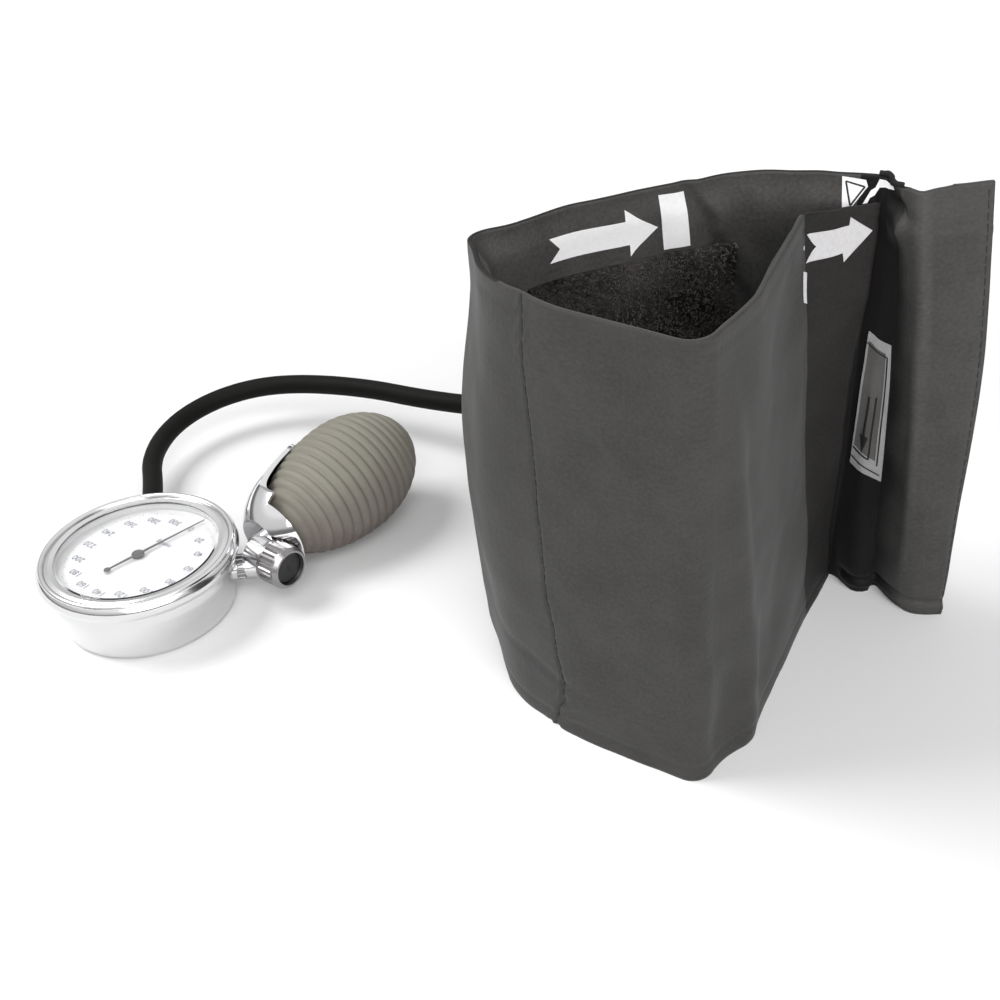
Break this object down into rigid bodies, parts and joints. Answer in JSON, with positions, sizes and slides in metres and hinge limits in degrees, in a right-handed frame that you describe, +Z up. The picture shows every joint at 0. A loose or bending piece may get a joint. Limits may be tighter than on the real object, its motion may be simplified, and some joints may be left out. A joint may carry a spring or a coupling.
{
  "type": "palm aneroid sphygmomanometer",
  "caption": "Palm aneroid blood-pressure instrument: dial gauge, release valve with spoon and ribbed bulb, one hose, and an arm cuff standing as a loop.",
  "frame": {"origin": "on the table, at the middle of the footprint of everything but the hose", "axes": "+X from the gauge towards the cuff's tail, +Y away from the viewer, +Z up, the gauge dial facing up"},
  "size_m": [0.2923, 0.2272, 0.14],
  "materials": {
    "chrome": "polished chrome plate, faint handling marks",
    "brass": "plain turned brass",
    "steel": "bright machined steel",
    "capsule": "corrugated spring bronze",
    "nipple": "plated",
    "dial": "matt white printed sheet",
    "spacer": "white plastic ring",
    "pointer": "matt black",
    "lens": "clear pane",
    "black_rubber": "black rubber",
    "bulb": "matt grey-brown moulded rubber",
    "hose": "satin black rubber tube",
    "port": "black plastic",
    "cover": "charcoal woven nylon, white prints",
    "lining": "charcoal woven nylon",
    "bladder": "latex sheet",
    "pile": "black looped pile",
    "hook": "hook tape",
    "label": "dark woven label with a light grey border"
  },
  "bodies": {
    "instrument": {"case_body": "chrome", "bezel": "chrome", "dial": "dial", "spacer_ring": "spacer", "lens_gasket": "black_rubber", "lens": "lens", "movement_base_plate": "brass", "movement_top_plate": "brass", "movement_pillars": "brass", "movement_screws": "steel", "hairspring": "steel", "hairspring_stud": "brass", "aneroid_capsule": "capsule", "capsule_foot": "brass", "hose_nipple": "nipple", "neck_tube": "chrome", "union_nut": "chrome", "valve_body": "chrome", "valve_seat": "brass", "valve_seal": "black_rubber", "spoon": "chrome", "spoon_nut": "chrome", "bulb": "bulb", "outlet_valve_retainer": "brass", "inlet_valve_housing": "chrome", "inlet_valve_retainer": "brass", "hose": "hose", "cuff_cover": "cover", "bladder": "bladder", "cuff_lining": "lining", "pile_patch": "pile", "hook_tape": "hook", "bladder_port": "port", "port_grommet": "port"},
    "pointer": {"pointer": "pointer", "pinion_arbor": "steel"},
    "sector": {"sector_gear": "brass"},
    "rocker": {"rocker": "steel"},
    "capsule_post": {"capsule_post": "steel"},
    "needle": {"valve_needle": "steel"},
    "knob": {"release_knob": "chrome", "knob_insert": "black_rubber", "knob_screw": "steel"},
    "outlet_disc": {"outlet_valve_disc": "black_rubber"},
    "inlet_disc": {"inlet_valve_disc": "black_rubber"},
    "tail": {"cuff_tail": "lining", "tail_label": "label"}
  },
  "joints": [
    {"name": "sector_swing", "type": "hinge", "parent": "instrument", "child": "sector", "pos_m": [-0.12129, 0.01274, 0], "axis": [0, 0, 1], "range_deg": [0, 37.5]},
    {"name": "pointer_turn", "type": "hinge", "parent": "instrument", "child": "pointer", "pos_m": [-0.111, 0.025, 0], "axis": [0, 0, 1], "range_deg": [-337.5, 0]},
    {"name": "rocker_tilt", "type": "hinge", "parent": "instrument", "child": "rocker", "pos_m": [-0.111, 0.025, 0.0106], "axis": [0.6428, 0.766, 0], "range_deg": [0, 27]},
    {"name": "capsule_rise", "type": "slide", "parent": "instrument", "child": "capsule_post", "axis": [0, 0, 1], "range_m": [0, 0.00136], "deforming": ["aneroid_capsule"]},
    {"name": "needle_travel", "type": "slide", "parent": "instrument", "child": "needle", "axis": [0.7373, -0.6756, 0], "range_m": [0, 0.00112]},
    {"name": "knob_turn", "type": "hinge", "parent": "needle", "child": "knob", "pos_m": [-0.0721, 0.02772, 0.015], "axis": [0.7373, -0.6756, 0], "range_deg": [0, 540]},
    {"name": "outlet_valve_lift", "type": "slide", "parent": "instrument", "child": "outlet_disc", "axis": [-0.6719, -0.7332, -0.1045], "range_m": [0, 0.0008], "stiffness_N_per_m": 2},
    {"name": "inlet_valve_lift", "type": "slide", "parent": "instrument", "child": "inlet_disc", "axis": [-0.6719, -0.7332, -0.1045], "range_m": [0, 0.0008], "stiffness_N_per_m": 2},
    {"name": "tail_fold", "type": "hinge", "parent": "instrument", "child": "tail", "pos_m": [0.117, 0.006, 0], "axis": [0.0178, -0.1065, 0.9942], "range_deg": [0, 75]}
  ],
  "couplings": [
    {"joint": "pointer_turn", "follows": "sector_swing", "ratio": -9},
    {"joint": "rocker_tilt", "follows": "sector_swing", "ratio": 0.72},
    {"joint": "capsule_rise", "follows": "sector_swing", "m_per_rad": 0.002081},
    {"joint": "knob_turn", "follows": "needle_travel", "rad_per_m": 8377.6}
  ]
}
